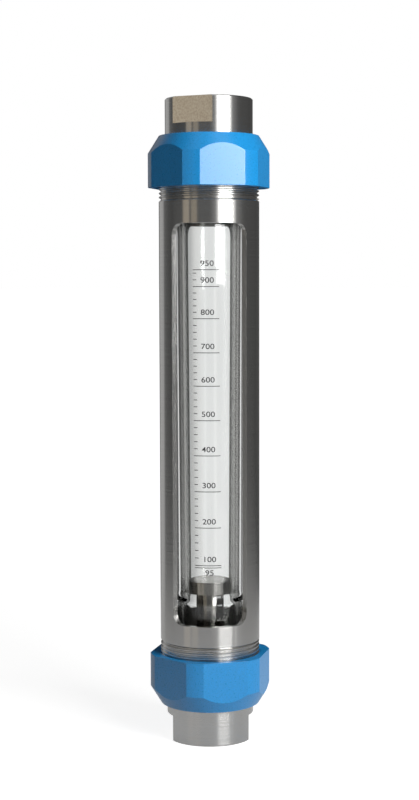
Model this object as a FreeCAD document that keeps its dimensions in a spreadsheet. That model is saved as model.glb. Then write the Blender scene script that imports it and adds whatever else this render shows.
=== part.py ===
import FreeCAD, Part
import math
import os
import Sketcher
from FreeCAD import Placement, Rotation, Vector

# Glass tube flow meter that stands on its lower fitting. Millimetres, Z up along the flow,
# the origin at the centre of the lower fitting's end face, the reading side towards -Y.
# Each end is the same stack, counted from the fitting's outer end face:
# nut collar, slip ring, fitting flange, gasket, then the shroud's end face.

doc = FreeCAD.newDocument("flow_meter")

# Driving sizes in millimetres and degrees
SIZES = [
    ("total_length", 375.0),
    # Float
    ("float_head_radius", 12.8),
    ("float_head_height", 7.3),
    ("float_edge", 0.3),
    ("float_stem_radius", 8.0),
    ("float_stem_length", 44.7),
    ("float_nose", 2.0),
    # Measuring glass
    ("float_clearance", 0.45),
    ("taper_lead", 3.1),
    ("taper_rise", 1.45),
    ("low_bore_step", 3.95),
    ("low_flare_length", 10.5),
    ("high_bore_step", 2.5),
    ("high_flare_length", 8.0),
    ("high_bore_length", 20.5),
    ("glass_wall", 2.3),
    ("glass_edge", 1.0),
    # End fitting
    ("glass_gap", 0.15),
    ("glass_socket_depth", 15.0),
    ("seal_inset", 7.0),
    ("seal_groove_width", 3.8),
    ("seal_groove_depth", 3.0),
    ("spigot_wall", 3.25),
    ("spigot_length", 23.0),
    ("spigot_lead", 0.8),
    ("flange_thickness", 6.5),
    ("flange_shoulder", 2.23),
    ("fitting_edge", 0.6),
    ("wrench_flat_depth", 3.25),
    ("wrench_flat_length", 15.2),
    ("lower_fitting_turn", 91.5),
    ("upper_fitting_turn", -24.6),
    ("pipe_socket_radius", 15.15),
    ("pipe_socket_depth", 18.0),
    ("pipe_socket_lead", 1.5),
    ("flow_bore_radius", 12.5),
    # Shroud
    ("spigot_gap", 0.1),
    ("shroud_wall", 3.25),
    ("shroud_edge", 0.8),
    ("thread_depth", 1.25),
    ("thread_length", 21.6),
    ("thread_runout", 1.0),
    ("window_low_land", 12.0),
    ("window_high_land", 13.0),
    ("window_half_angle", 46.8),
    ("window_corner_radius", 7.0),
    ("window_edge", 0.4),
    # Union nut
    ("thread_gap", 0.08),
    ("flange_gap", 0.35),
    ("nut_reach", 21.2),
    ("nut_length", 30.0),
    ("nut_wall", 6.3),
    ("nut_rim_wall", 3.35),
    ("nut_cone_length", 10.3),
    ("nut_flat_depth", 2.5),
    ("nut_edge", 0.5),
    ("nut_mouth_depth", 2.0),
    ("nut_mouth_gap", 0.5),
    ("collar_thickness", 6.3),
    ("collar_gap", 0.25),
    ("lower_nut_turn", 15.5),
    ("upper_nut_turn", 13.3),
    # Slip ring, flange gasket, glass seal and cushion
    ("slip_ring_thickness", 1.0),
    ("slip_ring_gap", 0.2),
    ("gasket_thickness", 1.5),
    ("gasket_gap", 0.2),
    ("seal_gap", 0.05),
    ("seal_rounding", 0.9),
    ("cushion_thickness", 1.5),
    ("cushion_lip", 0.5),
    # Float stop and the clip that holds it
    ("stop_thickness", 2.5),
    ("stop_ledge", 2.5),
    ("stop_gap", 0.2),
    ("stop_hole_radius", 3.0),
    ("stop_web", 1.0),
    ("stop_rim", 0.5),
    ("low_stop_boss", 1.5),
    ("high_stop_boss", 26.2),
    ("clip_thickness", 1.2),
    ("clip_gap", 0.1),
    ("clip_width", 2.4),
    ("clip_groove_depth", 1.0),
    ("clip_land", 1.0),
    ("clip_opening_angle", 40.0),
]

sheet = doc.addObject("Spreadsheet::Sheet", "Sizes")
for row, (alias, number) in enumerate(SIZES, start=1):
    sheet.set(f"A{row}", alias)
    sheet.set(f"B{row}", str(number))
    sheet.setAlias(f"B{row}", alias)
doc.recompute()

# Heights that several pieces share, counted from a fitting's outer end face
COLLAR_FACE = "(Sizes.nut_reach + Sizes.collar_thickness)"
FLANGE_LOW = f"({COLLAR_FACE} + Sizes.slip_ring_thickness)"
FLANGE_HIGH = f"({FLANGE_LOW} + Sizes.flange_thickness)"
SHROUD_END = f"({FLANGE_HIGH} + Sizes.gasket_thickness)"
SPIGOT_END = f"({FLANGE_HIGH} + Sizes.spigot_length)"
SEAL_HIGH = f"({SPIGOT_END} - Sizes.seal_inset)"
SEAL_LOW = f"({SEAL_HIGH} - Sizes.seal_groove_width)"
GLASS_SEAT = f"({SPIGOT_END} - Sizes.glass_socket_depth)"
GLASS_END = f"({GLASS_SEAT} + Sizes.cushion_thickness)"
GROOVE_HIGH = f"({GLASS_SEAT} - Sizes.clip_land)"
STOP_FACE = f"({GROOVE_HIGH} - Sizes.clip_thickness - Sizes.clip_gap)"
STOP_SEAT = f"({STOP_FACE} - Sizes.stop_thickness)"
FLOAT_REST = f"({STOP_FACE} + Sizes.low_stop_boss)"
HEAD_LOW = f"({FLOAT_REST} + Sizes.float_stem_length)"

# Radii that several pieces share, from the float outwards
TAPER_LOW_RADIUS = "(Sizes.float_head_radius + Sizes.float_clearance)"
TAPER_HIGH_RADIUS = f"({TAPER_LOW_RADIUS} + Sizes.taper_rise)"
HIGH_BORE_RADIUS = f"({TAPER_HIGH_RADIUS} + Sizes.high_bore_step)"
GLASS_RADIUS = f"({HIGH_BORE_RADIUS} + Sizes.glass_wall)"
SOCKET_RADIUS = f"({GLASS_RADIUS} + Sizes.glass_gap)"
SEAL_RADIUS = f"({SOCKET_RADIUS} + Sizes.seal_groove_depth)"
SPIGOT_RADIUS = f"({SEAL_RADIUS} + Sizes.spigot_wall)"
SHROUD_BORE = f"({SPIGOT_RADIUS} + Sizes.spigot_gap)"
SHROUD_RADIUS = f"({SHROUD_BORE} + Sizes.shroud_wall)"
THREAD_CORE = f"({SHROUD_RADIUS} - Sizes.thread_depth)"
NUT_BORE = f"({THREAD_CORE} + Sizes.thread_gap)"
FLANGE_RADIUS = f"({NUT_BORE} - Sizes.flange_gap)"
FITTING_RADIUS = f"({FLANGE_RADIUS} - Sizes.flange_shoulder)"
COLLAR_RADIUS = f"({FITTING_RADIUS} + Sizes.collar_gap)"
NUT_RADIUS = f"({SHROUD_RADIUS} + Sizes.nut_wall)"
STOP_RADIUS = "(Sizes.flow_bore_radius + Sizes.stop_ledge)"
STOP_SEAT_RADIUS = f"({STOP_RADIUS} + Sizes.stop_gap)"
CLIP_GROOVE_RADIUS = f"({STOP_SEAT_RADIUS} + Sizes.clip_groove_depth)"
STOP_HOLE_CIRCLE = "(Sizes.flow_bore_radius - Sizes.stop_rim - Sizes.stop_hole_radius)"
STOP_BOSS_RADIUS = f"({STOP_HOLE_CIRCLE} - Sizes.stop_hole_radius - Sizes.stop_web)"


def new_body(label):
    body = doc.addObject("PartDesign::Body", label)
    body.Label = label
    return body


def origin_plane(body, role):
    return next(item for item in body.Origin.OriginFeatures if item.Role == role)


def new_sketch(body, name, plane="XZ_Plane"):
    """A sketch on one of the body's own planes; on XZ its X is the radius and its Y the height."""
    sketch = body.newObject("Sketcher::SketchObject", f"{body.Label}_{name}")
    sketch.AttachmentSupport = [(origin_plane(body, plane), "")]
    sketch.MapMode = "FlatFace"
    return sketch


def fix_coordinate(sketch, kind, point, formula, name):
    """Hold one coordinate of a point at a formula's value; "0" puts it on the sketch's axis."""
    if formula == "0":
        axis = -2 if kind == "DistanceX" else -1
        sketch.addConstraint(Sketcher.Constraint("PointOnObject", *point, axis))
        return
    ends = (*point, -1, 1) if formula.startswith("-") else (-1, 1, *point)
    index = sketch.addConstraint(Sketcher.Constraint(kind, *ends, 1.0))
    sketch.renameConstraint(index, name)
    sketch.setExpression(f".Constraints.{name}", formula.lstrip("-"))


def draw_outline(sketch, corners):
    """A closed outline whose corners are pairs of formulas. The corners start on a circle,
    and their dimensions then pull each one to its place."""
    count = len(corners)
    start = []
    for index in range(count):
        turn = 2 * math.pi * index / count
        start.append(Vector(count + math.cos(turn), count + math.sin(turn), 0))
    for index in range(count):
        line = Part.LineSegment(start[index], start[(index + 1) % count])
        sketch.addGeometry(line, False)
    for index in range(count):
        following = (index + 1) % count
        sketch.addConstraint(Sketcher.Constraint("Coincident", index, 2, following, 1))
    for index, (across, along) in enumerate(corners):
        fix_coordinate(sketch, "DistanceX", (index, 1), across, f"across{index}")
        fix_coordinate(sketch, "DistanceY", (index, 1), along, f"along{index}")


def revolve(body, name, corners):
    """Turn an outline of (radius, height) corners round the body's Z axis."""
    sketch = new_sketch(body, f"{name}_outline")
    draw_outline(sketch, corners)
    turned = body.newObject("PartDesign::Revolution", f"{body.Label}_{name}")
    turned.Profile = sketch
    turned.ReferenceAxis = (sketch, ["V_Axis"])
    turned.Angle = 360
    return turned


def cut_pattern(body, name, pocket, sketch, count):
    """Repeat a cut round the Z axis."""
    pattern = body.newObject("PartDesign::PolarPattern", f"{body.Label}_{name}")
    pattern.Originals = [pocket]
    pattern.Axis = (sketch, ["N_Axis"])
    pattern.Angle = 360
    pattern.Occurrences = count
    body.Tip = pattern
    return pattern


def place_end_piece(body, end, turn=0.0):
    """Put a piece that is drawn from its fitting's end face at the lower or the upper end."""
    if end == "lower":
        body.Placement = Placement(Vector(0, 0, 0), Rotation(Vector(0, 0, 1), turn))
        return
    flip = Rotation(Vector(0, 0, 1), turn).multiply(Rotation(Vector(1, 0, 0), 180))
    body.Placement = Placement(Vector(0, 0, sheet.get("total_length")), flip)
    body.setExpression(".Placement.Base.z", "Sizes.total_length")


def end_fitting(end):
    """Turned stainless fitting: pipe socket outside, flange in the nut, spigot in the shroud
    with the socket that holds the glass, its seal and the float stop."""
    body = new_body(f"{end}_end_fitting")
    revolve(body, "turning", [
        ("Sizes.pipe_socket_radius + Sizes.pipe_socket_lead", "0"),
        (f"{FITTING_RADIUS} - Sizes.fitting_edge", "0"),
        (FITTING_RADIUS, "Sizes.fitting_edge"),
        (FITTING_RADIUS, FLANGE_LOW),
        (FLANGE_RADIUS, FLANGE_LOW),
        (FLANGE_RADIUS, FLANGE_HIGH),
        (SPIGOT_RADIUS, FLANGE_HIGH),
        (SPIGOT_RADIUS, f"{SPIGOT_END} - Sizes.spigot_lead"),
        (f"{SPIGOT_RADIUS} - Sizes.spigot_lead", SPIGOT_END),
        (f"{SOCKET_RADIUS} + Sizes.spigot_lead", SPIGOT_END),
        (SOCKET_RADIUS, f"{SPIGOT_END} - Sizes.spigot_lead"),
        (SOCKET_RADIUS, SEAL_HIGH),
        (SEAL_RADIUS, SEAL_HIGH),
        (SEAL_RADIUS, SEAL_LOW),
        (SOCKET_RADIUS, SEAL_LOW),
        (SOCKET_RADIUS, GLASS_SEAT),
        (STOP_SEAT_RADIUS, GLASS_SEAT),
        (STOP_SEAT_RADIUS, GROOVE_HIGH),
        (CLIP_GROOVE_RADIUS, GROOVE_HIGH),
        (CLIP_GROOVE_RADIUS, STOP_FACE),
        (STOP_SEAT_RADIUS, STOP_FACE),
        (STOP_SEAT_RADIUS, STOP_SEAT),
        ("Sizes.flow_bore_radius", STOP_SEAT),
        ("Sizes.flow_bore_radius", "Sizes.pipe_socket_depth"),
        ("Sizes.pipe_socket_radius", "Sizes.pipe_socket_depth"),
        ("Sizes.pipe_socket_radius", "Sizes.pipe_socket_lead"),
    ])
    mill_flats(body, FITTING_RADIUS, "Sizes.wrench_flat_depth", "Sizes.wrench_flat_length", 2)
    place_end_piece(body, end, sheet.get(f"{end}_fitting_turn"))
    return body


def mill_flats(body, radius, depth, length, count):
    """Flats cut into a round body, each to a depth below its radius and over a length from
    the fitting's outer end face."""
    sketch = new_sketch(body, "flat_outline", "XY_Plane")
    draw_outline(sketch, [
        (f"-{radius}", f"-({radius} - {depth})"),
        (f"-{radius}", f"-({radius} + {depth})"),
        (radius, f"-({radius} + {depth})"),
        (radius, f"-({radius} - {depth})"),
    ])
    flat = body.newObject("PartDesign::Pocket", f"{body.Label}_flat")
    flat.Profile = sketch
    flat.Reversed = True
    flat.setExpression("Length", length)
    cut_pattern(body, "flats", flat, sketch, count)


def union_nut(end):
    """Blue hexagonal union nut: a turned blank with a cone at its rim, six milled flats,
    and a collar inside that draws the fitting's flange against the shroud."""
    body = new_body(f"{end}_union_nut")
    nut_end = "(Sizes.nut_reach + Sizes.nut_length)"
    revolve(body, "turning", [
        (COLLAR_RADIUS, "Sizes.nut_reach"),
        (f"{COLLAR_RADIUS} + Sizes.nut_rim_wall", "Sizes.nut_reach"),
        (NUT_RADIUS, "Sizes.nut_reach + Sizes.nut_cone_length"),
        (NUT_RADIUS, f"{nut_end} - Sizes.nut_edge"),
        (f"{NUT_RADIUS} - Sizes.nut_edge", nut_end),
        (f"{SHROUD_RADIUS} + Sizes.nut_mouth_gap", nut_end),
        (NUT_BORE, f"{nut_end} - Sizes.nut_mouth_depth"),
        (NUT_BORE, COLLAR_FACE),
        (COLLAR_RADIUS, COLLAR_FACE),
    ])
    mill_flats(body, NUT_RADIUS, "Sizes.nut_flat_depth", f"{nut_end} + Sizes.nut_edge", 6)
    place_end_piece(body, end, sheet.get(f"{end}_nut_turn"))
    return body


def plain_ring(end, name, inner, outer, low, high):
    """A ring of rectangular section, from radius inner to outer and height low to high."""
    body = new_body(f"{end}_{name}")
    revolve(body, "turning", [(inner, low), (outer, low), (outer, high), (inner, high)])
    place_end_piece(body, end)
    return body


def slip_ring(end):
    """Smooth ring between the nut's collar and the fitting's flange."""
    inner = f"{FITTING_RADIUS} + Sizes.slip_ring_gap"
    return plain_ring(end, "slip_ring", inner, FLANGE_RADIUS, COLLAR_FACE, FLANGE_LOW)


def flange_gasket(end):
    """Soft ring on which the shroud's end face beds against the fitting's flange."""
    inner = f"{SPIGOT_RADIUS} + Sizes.gasket_gap"
    return plain_ring(end, "flange_gasket", inner, FLANGE_RADIUS, FLANGE_HIGH, SHROUD_END)


def glass_cushion(end):
    """Soft ring on the socket's floor, under the end of the glass."""
    inner = f"{STOP_SEAT_RADIUS} + Sizes.cushion_lip"
    return plain_ring(end, "glass_cushion", inner, GLASS_RADIUS, GLASS_SEAT, GLASS_END)


def glass_seal(end):
    """Rubber ring in the socket's groove, its round section squeezed flat against the glass
    and against the groove's floor."""
    body = new_body(f"{end}_glass_seal")
    inner = f"({GLASS_RADIUS} + Sizes.seal_gap)"
    outer = f"({SEAL_RADIUS} - Sizes.seal_gap)"
    low = f"({SEAL_LOW} + Sizes.seal_gap)"
    high = f"({SEAL_HIGH} - Sizes.seal_gap)"
    revolve(body, "turning", [
        (f"{inner} + Sizes.seal_rounding", low),
        (f"{outer} - Sizes.seal_rounding", low),
        (outer, f"{low} + Sizes.seal_rounding"),
        (outer, f"{high} - Sizes.seal_rounding"),
        (f"{outer} - Sizes.seal_rounding", high),
        (f"{inner} + Sizes.seal_rounding", high),
        (inner, f"{high} - Sizes.seal_rounding"),
        (inner, f"{low} + Sizes.seal_rounding"),
    ])
    place_end_piece(body, end)
    return body


def float_stop(end, boss):
    """Perforated plate that catches the float on its boss and lets the flow past."""
    body = new_body(f"{end}_float_stop")
    revolve(body, "turning", [
        ("0", STOP_SEAT),
        (STOP_RADIUS, STOP_SEAT),
        (STOP_RADIUS, STOP_FACE),
        (STOP_BOSS_RADIUS, STOP_FACE),
        (STOP_BOSS_RADIUS, f"{STOP_FACE} + {boss}"),
        ("0", f"{STOP_FACE} + {boss}"),
    ])
    sketch = new_sketch(body, "hole_outline", "XY_Plane")
    sketch.addGeometry(Part.Circle(Vector(1, 0, 0), Vector(0, 0, 1), 1.0), False)
    fix_coordinate(sketch, "DistanceX", (0, 3), STOP_HOLE_CIRCLE, "across")
    fix_coordinate(sketch, "DistanceY", (0, 3), "0", "along")
    index = sketch.addConstraint(Sketcher.Constraint("Radius", 0, 1.0))
    sketch.renameConstraint(index, "hole_radius")
    sketch.setExpression(".Constraints.hole_radius", "Sizes.stop_hole_radius")
    hole = body.newObject("PartDesign::Pocket", f"{body.Label}_hole")
    hole.Profile = sketch
    hole.Reversed = True
    hole.setExpression("Length", f"{STOP_FACE} + Sizes.clip_gap")
    cut_pattern(body, "holes", hole, sketch, 6)
    place_end_piece(body, end)
    return body


def stop_clip(end):
    """Open spring ring that snaps into the groove over the float stop."""
    body = new_body(f"{end}_stop_clip")
    outer = f"({CLIP_GROOVE_RADIUS} - Sizes.clip_gap)"
    inner = f"({outer} - Sizes.clip_width)"
    top = f"({STOP_FACE} + Sizes.clip_thickness)"
    ring = revolve(body, "turning", [(inner, STOP_FACE), (outer, STOP_FACE), (outer, top), (inner, top)])
    ring.Midplane = True
    ring.setExpression("Angle", "360 - Sizes.clip_opening_angle")
    place_end_piece(body, end)
    return body


def window_section(body, name, distance, low, high):
    """Rectangle square to the reading direction, at a distance from the axis. Its width grows
    with the distance, so that the window's sides lie on planes through the axis."""
    sketch = new_sketch(body, name)
    sketch.setExpression(".AttachmentOffset.Base.z", distance)
    half_width = f"({distance} * tan(Sizes.window_half_angle * 1 deg))"
    draw_outline(sketch, [
        (f"-{half_width}", low),
        (half_width, low),
        (half_width, high),
        (f"-{half_width}", high),
    ])
    return sketch


def shroud_tube():
    """Stainless tube that carries the meter: threaded at both ends, with a long window in
    front and one behind whose sides point at the axis."""
    body = new_body("shroud_tube")
    top_end = f"(Sizes.total_length - {SHROUD_END})"
    low_thread = f"({SHROUD_END} + Sizes.thread_length)"
    high_thread = f"({top_end} - Sizes.thread_length)"
    low_shoulder = f"({low_thread} + Sizes.thread_runout)"
    high_shoulder = f"({high_thread} - Sizes.thread_runout)"
    revolve(body, "turning", [
        (SHROUD_BORE, SHROUD_END),
        (f"{THREAD_CORE} - Sizes.shroud_edge", SHROUD_END),
        (THREAD_CORE, f"{SHROUD_END} + Sizes.shroud_edge"),
        (THREAD_CORE, low_thread),
        (SHROUD_RADIUS, low_shoulder),
        (SHROUD_RADIUS, high_shoulder),
        (THREAD_CORE, high_thread),
        (THREAD_CORE, f"{top_end} - Sizes.shroud_edge"),
        (f"{THREAD_CORE} - Sizes.shroud_edge", top_end),
        (SHROUD_BORE, top_end),
    ])
    low = f"{low_shoulder} + Sizes.window_low_land"
    high = f"{high_shoulder} - Sizes.window_high_land"
    inner = window_section(body, "window_inner", "(Sizes.shroud_wall * 2)", low, high)
    outer = window_section(body, "window_outer", f"({SHROUD_RADIUS} + Sizes.shroud_wall)", low, high)
    window = body.newObject("PartDesign::SubtractiveLoft", "front_window")
    window.Profile = inner
    window.Sections = [outer]
    window.Ruled = True
    cut_pattern(body, "windows", window, new_sketch(body, "pattern_axis", "XY_Plane"), 2)
    doc.recompute()
    tube = body.Tip
    radii = [radius for edge in tube.Shape.Edges for radius in distances_from_axis(edge)]
    skins = (min(radii), max(radii))
    dress_edges(body, "PartDesign::Fillet", "window_corners", "window_corner_radius", joins_skins, skins)
    dress_edges(body, "PartDesign::Chamfer", "window_edge_break", "window_edge", lies_on_skin, skins)
    return body


def dress_edges(body, kind, name, size, chosen, skins):
    """Round or break those edges of the tube that a test picks out."""
    tube = body.Tip
    names = []
    for index, edge in enumerate(tube.Shape.Edges, start=1):
        if chosen(edge, tube.Shape, skins):
            names.append(f"Edge{index}")
    dressing = body.newObject(kind, name)
    dressing.Base = (tube, names)
    property_name = "Radius" if kind == "PartDesign::Fillet" else "Size"
    dressing.setExpression(property_name, f"Sizes.{size}")
    body.Tip = dressing
    doc.recompute()


def distances_from_axis(edge):
    return [math.hypot(point.x, point.y) for point in edge.discretize(5)]


def joins_skins(edge, shape, skins):
    """True for a window's corner edges, which run from the tube's bore to its outer skin."""
    radii = distances_from_axis(edge)
    bore, outer = skins
    return abs(min(radii) - bore) < 0.001 and abs(max(radii) - outer) < 0.001


def lies_on_skin(edge, shape, skins):
    """True for a window's outer edges: open edges on the outer skin that part two faces."""
    outer = skins[1]
    on_skin = all(abs(radius - outer) < 0.001 for radius in distances_from_axis(edge))
    seam = any(edge.isSeam(face) for face in shape.ancestorsOfType(edge, Part.Face))
    return on_skin and not edge.isClosed() and not seam


def measuring_glass():
    """Thick clear tube whose bore widens upwards, with a wider plain bore at both ends."""
    body = new_body("measuring_glass")
    top = f"(Sizes.total_length - {GLASS_END})"
    taper_start = f"({HEAD_LOW} + Sizes.taper_lead)"
    taper_end = f"({top} - Sizes.high_bore_length)"
    low_bore_radius = f"({TAPER_LOW_RADIUS} + Sizes.low_bore_step)"
    revolve(body, "drawing", [
        (low_bore_radius, GLASS_END),
        (f"{GLASS_RADIUS} - Sizes.glass_edge", GLASS_END),
        (GLASS_RADIUS, f"{GLASS_END} + Sizes.glass_edge"),
        (GLASS_RADIUS, f"{top} - Sizes.glass_edge"),
        (f"{GLASS_RADIUS} - Sizes.glass_edge", top),
        (HIGH_BORE_RADIUS, top),
        (HIGH_BORE_RADIUS, f"{taper_end} + Sizes.high_flare_length"),
        (TAPER_HIGH_RADIUS, taper_end),
        (TAPER_LOW_RADIUS, taper_start),
        (low_bore_radius, f"{taper_start} - Sizes.low_flare_length"),
    ])
    return body


def meter_float():
    """Stainless float: a broad head with a sharp reading edge over a round stem."""
    body = new_body("float")
    head_high = f"({HEAD_LOW} + Sizes.float_head_height)"
    revolve(body, "turning", [
        ("0", FLOAT_REST),
        ("Sizes.float_stem_radius - Sizes.float_nose", FLOAT_REST),
        ("Sizes.float_stem_radius", f"{FLOAT_REST} + Sizes.float_nose"),
        ("Sizes.float_stem_radius", HEAD_LOW),
        ("Sizes.float_head_radius - Sizes.float_edge", HEAD_LOW),
        ("Sizes.float_head_radius", f"{HEAD_LOW} + Sizes.float_edge"),
        ("Sizes.float_head_radius", head_high),
        ("0", head_high),
    ])
    return body


pieces = [shroud_tube(), measuring_glass(), meter_float()]
for end, boss in (("lower", "Sizes.low_stop_boss"), ("upper", "Sizes.high_stop_boss")):
    pieces += [
        end_fitting(end),
        union_nut(end),
        slip_ring(end),
        flange_gasket(end),
        glass_cushion(end),
        glass_seal(end),
        float_stop(end, boss),
        stop_clip(end),
    ]
doc.recompute()

for item in doc.Objects:
    faults = [state for state in item.State if state in ("Invalid", "Error")]
    if faults:
        raise RuntimeError(f"{item.Label} did not compute: {faults}")
    removes = item.TypeId in ("PartDesign::Pocket", "PartDesign::SubtractiveLoft")
    if removes and item.Shape.Volume >= item.BaseFeature.Shape.Volume:
        raise RuntimeError(f"{item.Label} removes nothing")

os.makedirs("parts", exist_ok=True)
for piece in pieces:
    if piece.Shape.isNull() or not piece.Shape.isValid():
        raise RuntimeError(f"{piece.Label} has no valid shape")
    piece.Shape.exportStep(f"parts/{piece.Label}.step")
    print(f"{piece.Label}: {len(piece.Shape.Solids)} solid, {piece.Shape.Volume:.1f} mm3")
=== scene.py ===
import math

import bmesh
import bpy
from mathutils import Matrix, Vector


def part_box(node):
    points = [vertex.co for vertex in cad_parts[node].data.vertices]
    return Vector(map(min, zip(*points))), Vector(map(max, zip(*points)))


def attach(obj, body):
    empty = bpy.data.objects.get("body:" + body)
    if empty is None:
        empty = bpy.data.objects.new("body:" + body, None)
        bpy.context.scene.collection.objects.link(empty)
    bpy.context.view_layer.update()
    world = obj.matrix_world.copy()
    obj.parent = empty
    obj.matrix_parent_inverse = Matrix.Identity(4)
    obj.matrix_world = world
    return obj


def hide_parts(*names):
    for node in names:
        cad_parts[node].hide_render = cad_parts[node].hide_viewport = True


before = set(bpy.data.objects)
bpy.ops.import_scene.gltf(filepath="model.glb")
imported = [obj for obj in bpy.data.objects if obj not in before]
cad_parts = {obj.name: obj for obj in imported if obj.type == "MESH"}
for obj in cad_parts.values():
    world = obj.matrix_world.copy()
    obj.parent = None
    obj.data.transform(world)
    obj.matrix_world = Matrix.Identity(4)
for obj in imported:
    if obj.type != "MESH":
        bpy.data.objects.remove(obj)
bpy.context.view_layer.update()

# Measuring glass: a thick tube of clear borosilicate, drawn over a mandrel so that its bore opens
# upwards. Both ends are left wide for the sealing rings, and the bore narrows through a short flare.
# Heights run up from the meter's foot. They and all other sizes of the meter are in millimetres.
MM = 0.001
TURN_STEPS = 240


def wire_outline(shape, outline):
    """Draws radius and height pairs, in millimetres, as a line on the lathe's plane."""
    corners = [shape.verts.new((radius * MM, 0.0, height * MM)) for radius, height in outline]
    touches_axis = outline[0][0] == 0 and outline[-1][0] == 0
    for here, there in zip(corners, corners[1:] if touches_axis else corners[1:] + corners[:1]):
        shape.edges.new((here, there))


def turned(outline):
    """A piece turned on the lathe: its outline swept once round the axis and closed."""
    shape = bmesh.new()
    wire_outline(shape, outline)
    bmesh.ops.spin(
        shape, geom=shape.verts[:] + shape.edges[:], cent=(0, 0, 0), axis=(0, 0, 1),
        dvec=(0, 0, 0), angle=math.tau, steps=TURN_STEPS, use_merge=True, use_duplicate=False,
    )
    bmesh.ops.remove_doubles(shape, verts=shape.verts, dist=0.002 * MM)
    bmesh.ops.recalc_face_normals(shape, faces=shape.faces)
    return shape


def break_edges(shape, width, sharpest=0.35, segments=2):
    """Rounds outside corners, as a file leaves them, where they turn by more than sharpest, in radians."""
    corners = [
        edge for edge in shape.edges
        if len(edge.link_faces) == 2 and edge.is_convex and edge.calc_face_angle() > sharpest
    ]
    bmesh.ops.bevel(
        shape, geom=corners, offset=width * MM, offset_type="OFFSET", affect="EDGES",
        segments=segments, profile=0.5, material=-1, clamp_overlap=True,
    )


def into_scene(name, shape, material):
    """Makes a finished shape an object of the scene, in one material."""
    mesh = bpy.data.meshes.new(name)
    shape.to_mesh(mesh)
    shape.free()
    item = bpy.data.objects.new(name, mesh)
    bpy.context.scene.collection.objects.link(item)
    mesh.materials.append(material)
    return item


def make_piece(name, shape, material, body, stands_for=None, hard_corner=0.7):
    """Turns a finished shape into a piece of the meter that rides on a body of the frame.

    Edges that turn by more than hard_corner, in radians, stay crisp.
    """
    for face in shape.faces:
        face.smooth = True
    for edge in shape.edges:
        if len(edge.link_faces) == 2 and edge.calc_face_angle() > hard_corner:
            edge.smooth = False
    piece = into_scene(name, shape, material)
    even_shading = piece.modifiers.new("even_shading", "WEIGHTED_NORMAL")
    even_shading.mode = "FACE_AREA"
    even_shading.weight = 100
    even_shading.keep_sharp = True
    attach(piece, body)
    if stands_for:
        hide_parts(stands_for)
    return piece


def new_material(name):
    """A plain node material with its shader, ready for the finish to be built on it."""
    material = bpy.data.materials.new(name)
    material.use_nodes = True
    tree = material.node_tree
    return material, tree.nodes, tree.links, tree.nodes["Principled BSDF"]


def clear_glass_finish():
    """Drawn glass: clear, and very slightly wavy along its length."""
    material, nodes, links, shader = new_material("clear_glass")
    shader.inputs["Base Color"].default_value = (0.985, 0.995, 0.99, 1)
    shader.inputs["Roughness"].default_value = 0.0
    shader.inputs["IOR"].default_value = 1.473
    shader.inputs["Transmission Weight"].default_value = 1.0
    place = nodes.new("ShaderNodeTexCoord")
    drawn = nodes.new("ShaderNodeMapping")
    drawn.inputs["Scale"].default_value = (60, 60, 9)
    waves = nodes.new("ShaderNodeTexNoise")
    waves.inputs["Scale"].default_value = 1.0
    waves.inputs["Detail"].default_value = 1.0
    swell = nodes.new("ShaderNodeBump")
    swell.inputs["Strength"].default_value = 0.12
    swell.inputs["Distance"].default_value = 0.0004
    links.new(place.outputs["Object"], drawn.inputs["Vector"])
    links.new(drawn.outputs["Vector"], waves.inputs["Vector"])
    links.new(waves.outputs["Fac"], swell.inputs["Height"])
    links.new(swell.outputs["Normal"], shader.inputs["Normal"])
    return material


clear_glass = clear_glass_finish()
glass_low, glass_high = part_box("measuring_glass")
glass_radius, glass_foot, glass_head = glass_high.x / MM, glass_low.z / MM, glass_high.z / MM
GLASS_FOOT_BORE, GLASS_HEAD_BORE = 15.5, 17.2
TAPER_LOW_BORE, TAPER_HIGH_BORE = 13.25, 14.7
FLARE_FOOT, TAPER_FOOT, TAPER_HEAD, FLARE_HEAD = 80.5, 88.0, 310.0, 318.0
FLARE_STEPS, FLARE_LAG = 20, 1.4


def flare(foot_radius, foot, head_radius, head):
    """The fire-formed neck between two bores: an S between their radii, slow to leave the first."""
    for step in range(FLARE_STEPS + 1):
        share = step / FLARE_STEPS
        swing = (1 - math.cos(math.pi * share ** FLARE_LAG)) / 2
        yield foot_radius + (head_radius - foot_radius) * swing, foot + (head - foot) * share


glass_shape = turned([
    (glass_radius, glass_foot), (glass_radius, glass_head),
    (GLASS_HEAD_BORE, glass_head), *flare(GLASS_HEAD_BORE, FLARE_HEAD, TAPER_HIGH_BORE, TAPER_HEAD),
    *flare(TAPER_LOW_BORE, TAPER_FOOT, GLASS_FOOT_BORE, FLARE_FOOT), (GLASS_FOOT_BORE, glass_foot),
])
break_edges(glass_shape, width=0.5)
make_piece("clear_measuring_glass", glass_shape, clear_glass, "root", "measuring_glass")

# Scale: fired on the outside of the glass in dark enamel, lines and numbers only.
# Its lines follow the tube's taper, so they stand closer together towards the top.
INK_STANDS_PROUD = 0.03
SCALE_LINES = {
    950: 276.4, 900: 266.8, 800: 248.4, 700: 228.8, 600: 209.6, 500: 189.7,
    400: 169.3, 300: 148.4, 200: 127.3, 100: 105.3, 95: 104.0,
}
LOWEST_NUMBER, TICK_EVERY = 95, 20
LINE_START, LINE_END, TICK_END, NUMBER_MIDDLE = -30.0, 16.0, -23.5, -4.5
SCALE_LEAN = math.tan(math.radians(0.33))
LINE_WEIGHT = 0.42
NUMBER_HEIGHT, NUMBER_STRETCH, NUMBER_WEIGHT, CAP_SHARE_OF_TYPE = 3.2, 1.2, 0.04, 0.72
NUMBER_ABOVE_LINE, NUMBER_BELOW_LINE = 2.2, 4.4
PRINT_COLUMN, COLUMNS_EACH_SIDE = 0.5, 40


def facing_at(turn):
    """The level direction at an angle round the meter, from its reading side towards the reader's right."""
    return Vector((math.sin(turn), -math.cos(turn), 0))


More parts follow.
